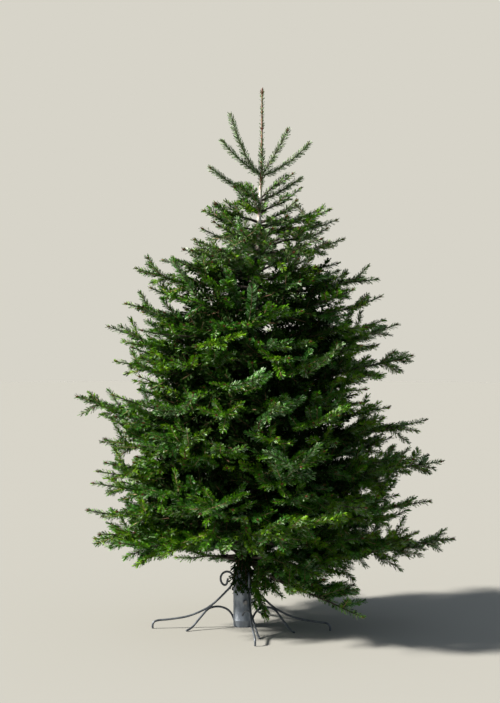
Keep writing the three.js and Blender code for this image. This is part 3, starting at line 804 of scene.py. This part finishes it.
def bead(centre, axis, half, radius):
    """An uneven run of weld along an axis."""
    axis = unit(np.asarray(axis, float))
    ref = Z if abs(axis[2]) < 0.9 else np.array([1.0, 0, 0])
    a = unit(np.cross(axis, ref))
    c = np.cross(axis, a)
    n, sides = 9, 10
    ang = np.arange(sides) * 2 * math.pi / sides
    v = [centre - axis * half]
    for i in range(1, n):
        u = -1 + 2 * i / n
        r = radius * math.sqrt(1 - u * u) * (1 + 0.13 * math.sin(i * 2.4)) * (1 + rng.normal(0, 0.05, sides))
        v += list(centre + axis * half * u + r[:, None] * (np.cos(ang)[:, None] * a + np.sin(ang)[:, None] * c))
    v.append(centre + axis * half)
    v = np.array(v)
    k = np.arange(sides)
    nxt = (k + 1) % sides
    tri = [np.stack([np.zeros(sides, int), 1 + nxt, 1 + k], 1)]
    for i in range(n - 2):
        o = 1 + i * sides
        tri += [np.stack([o + k, o + nxt, o + sides + nxt], 1), np.stack([o + k, o + sides + nxt, o + sides + k], 1)]
    o = 1 + (n - 2) * sides
    tri.append(np.stack([np.full(sides, len(v) - 1), o + k, o + nxt], 1))
    return v, np.concatenate(tri)


for side, bearing, hand, toe_angle in LEGS:
    a = math.radians(bearing)
    turn = np.array([[math.cos(a), -math.sin(a), 0], [math.sin(a), math.cos(a), 0], [0, 0, 1]])
    ca, sa = math.cos(math.radians(toe_angle)), math.sin(math.radians(toe_angle))
    main = smooth_line([turn @ (r, hand * (LEG_OFFSET + LEG_SPLAY * r), z) for r, z in LEG_LINE])
    toe = smooth_line([turn @ (WELD - t * ca, hand * (LEG_OFFSET + LEG_SPLAY * WELD - t * sa), z) for t, z in TOE_LINE], 8)
    main = main[int(np.argmax(main[:, 2] > 0.4)):]
    pieces = [rod(main, BAR), rod(toe, BAR)]
    near = np.linalg.norm(main[:, None] - toe[None], axis=2)
    i, j = np.unravel_index(near.argmin(), near.shape)
    pieces.append(bead((main[i] + toe[j]) / 2, main[i + 1] - main[i - 1], 11, 4.6))
    touch = main[int(np.abs(np.hypot(main[:, 0], main[:, 1]) - 0)[main[:, 2] > 150].argmin() + np.argmax(main[:, 2] > 150))]
    pieces.append(bead(touch * (1 - 4.2 / np.hypot(*touch[:2])) * [1, 1, 0] + [0, 0, touch[2]], Z, 12, 3.4))
    low = toe[4]
    pieces.append(bead(low * [0.98, 0.98, 1], Z, 9, 4.6))
    V, F = gather(pieces)
    V[:, 2] = np.maximum(V[:, 2], 0)
    welds = np.zeros(len(F), int)
    welds[len(pieces[0][1]) + len(pieces[1][1]):] = 1
    leg = mesh_object("iron_leg_" + side, V, F, [bar_iron_shaded, weld], welds, smooth=True)
    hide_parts("stand_leg_" + side)

# the tube, with a rolled mouth and a welded ring near its foot
sides = 72
profile = [(0.5, 0), (33.4, 0), (34.6, 0.5), (35, 1.6), (35, 22), (35.5, 23), (35.9, 25), (35.5, 27), (35, 28), (35, 90), (35, 150), (35, 216), (34.9, 220), (34.3, 221.6),
           (33.5, 222), (32.7, 221.6), (32.1, 220.4), (32, 218), (32, 150), (32, 60), (32, 5), (0.5, 5)]
ang = np.arange(sides) * 2 * math.pi / sides
V = np.concatenate([np.stack([r * np.cos(ang), r * np.sin(ang), np.full(sides, h)], 1) for r, h in profile])
k = np.arange(sides)
nxt = (k + 1) % sides
F = np.concatenate([np.stack([i * sides + k, i * sides + nxt, (i + 1) * sides + nxt, (i + 1) * sides + k], 1) for i in range(len(profile))
                    if i < len(profile) - 1] + [np.stack([(len(profile) - 1) * sides + k, (len(profile) - 1) * sides + nxt, nxt, k], 1)])
pipe = mesh_object("iron_tube", V, F, [iron], smooth=True)
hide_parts("stand_tube")

# clamping screws: a threaded shank and a six-sided head with broken edges
for i in range(SCREW["count"]):
    a = math.radians(SCREW["first"] + 360 / SCREW["count"] * i)
    out, across = np.array([math.cos(a), math.sin(a), 0]), np.array([-math.sin(a), math.cos(a), 0])
    start, end = 29.5, TUBE["outer"] + 7
    n = 24
    ang = np.arange(n) * 2 * math.pi / n
    hexed = math.cos(math.pi / 6) / np.cos((ang + math.pi / 6) % (math.pi / 3) - math.pi / 6)
    rings = [(t, SCREW["radius"] * (0.94 + 0.06 * np.cos(2 * math.pi * t / 1.6 - ang))) for t in np.arange(start, end, 0.4)]
    rings += [(end, SCREW["head"] * 0.9 * np.ones(n)), (end + 0.7, SCREW["head"] * np.minimum(hexed, 0.97)), (end + SCREW["height"] - 0.9, SCREW["head"] * np.minimum(hexed, 0.97)),
              (end + SCREW["height"], SCREW["head"] * 0.84 * np.ones(n))]
    V = np.concatenate([out * t + across * (r * np.cos(ang))[:, None] + Z * (SCREW["z"] + r * np.sin(ang))[:, None] for t, r in rings])
    k = np.arange(n)
    nxt = (k + 1) % n
    quads = np.concatenate([np.stack([q * n + k, q * n + nxt, (q + 1) * n + nxt, (q + 1) * n + k], 1) for q in range(len(rings) - 1)])
    V = np.concatenate([V, [out * rings[0][0] + Z * SCREW["z"]], [out * rings[-1][0] + Z * SCREW["z"]]])
    last = (len(rings) - 1) * n
    F = np.concatenate([quads[:, [0, 1, 2]], quads[:, [0, 2, 3]], np.stack([np.full(n, len(V) - 2), nxt, k], 1), np.stack([np.full(n, len(V) - 1), last + k, last + nxt], 1)])
    screw = mesh_object("clamp_screw_" + str(i + 1), V, F, [steel])
    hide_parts("stand_screw_" + str(i + 1))

# ------------------------------------------------------------------ stage, light and camera
scene = bpy.context.scene


def ring_surface(name, prof, n=96):
    """A surface of rings of the given radius and height."""
    v = [(r * math.cos(2 * math.pi * k / n), r * math.sin(2 * math.pi * k / n), h) for r, h in prof for k in range(n)]
    f = [(i * n + k, (i + 1) * n + k, (i + 1) * n + (k + 1) % n, i * n + (k + 1) % n) for i in range(len(prof) - 1) for k in range(n)]
    me = bpy.data.meshes.new(name)
    me.from_pydata(v, [], f)
    me.polygons.foreach_set("use_smooth", [True] * len(me.polygons))
    ob = bpy.data.objects.new(name, me)
    scene.collection.objects.link(ob)
    me.materials.append(pale)
    return ob


pale = material("stage", (0.284, 0.281, 0.264), 0.95, spec=0.0)
ring_surface("floor", [(0.001, 0), (3, 0), (12, 0)])
wall = ring_surface("wall", [(12, 0)] + [(12 + 3 * math.sin(a), 3 - 3 * math.cos(a)) for a in np.linspace(0.12, math.pi / 2, 12)] + [(15, 9)])
backdrop = bpy.data.materials.new("backdrop")
backdrop.use_nodes = True
nt = backdrop.node_tree
nt.nodes.remove(nt.nodes["Principled BSDF"])
glow = nt.nodes.new("ShaderNodeEmission")
glow.inputs["Color"].default_value = (0.680, 0.658, 0.584, 1)
nt.links.new(glow.outputs["Emission"], nt.nodes["Material Output"].inputs["Surface"])
wall.data.materials.clear()
wall.data.materials.append(backdrop)
# the wall is an even pale ground and takes no part in lighting the plant
wall.visible_shadow = wall.visible_diffuse = wall.visible_glossy = wall.visible_transmission = False

sun = bpy.data.lights.new("key", "SUN")
sun.energy = 12.0
sun.angle = math.radians(6)
sun.color = (1.0, 0.95, 0.86)
key = bpy.data.objects.new("key", sun)
scene.collection.objects.link(key)
from mathutils import Vector
SUN_HEIGHT, SUN_SIDE = math.radians(33), math.radians(8)
key.rotation_euler = Vector((-math.cos(SUN_HEIGHT) * math.cos(SUN_SIDE), -math.cos(SUN_HEIGHT) * math.sin(SUN_SIDE), math.sin(SUN_HEIGHT))).to_track_quat("Z", "Y").to_euler()

world = bpy.data.worlds.new("world")
scene.world = world
world.use_nodes = True
world.node_tree.nodes["Background"].inputs["Color"].default_value = (0.80, 0.90, 1.0, 1)
world.node_tree.nodes["Background"].inputs["Strength"].default_value = 0.42

cam = bpy.data.cameras.new("camera")
cam.sensor_width = 36
cam.lens = 1733 / 703 * 36
camera = bpy.data.objects.new("camera", cam)
scene.collection.objects.link(camera)
camera.location = (0.0285, -6.5, 1.44)
camera.rotation_euler = (math.radians(90 - 3.5), 0, 0)
scene.camera = camera
scene.view_settings.view_transform = "Standard"
scene.view_settings.look = "None"
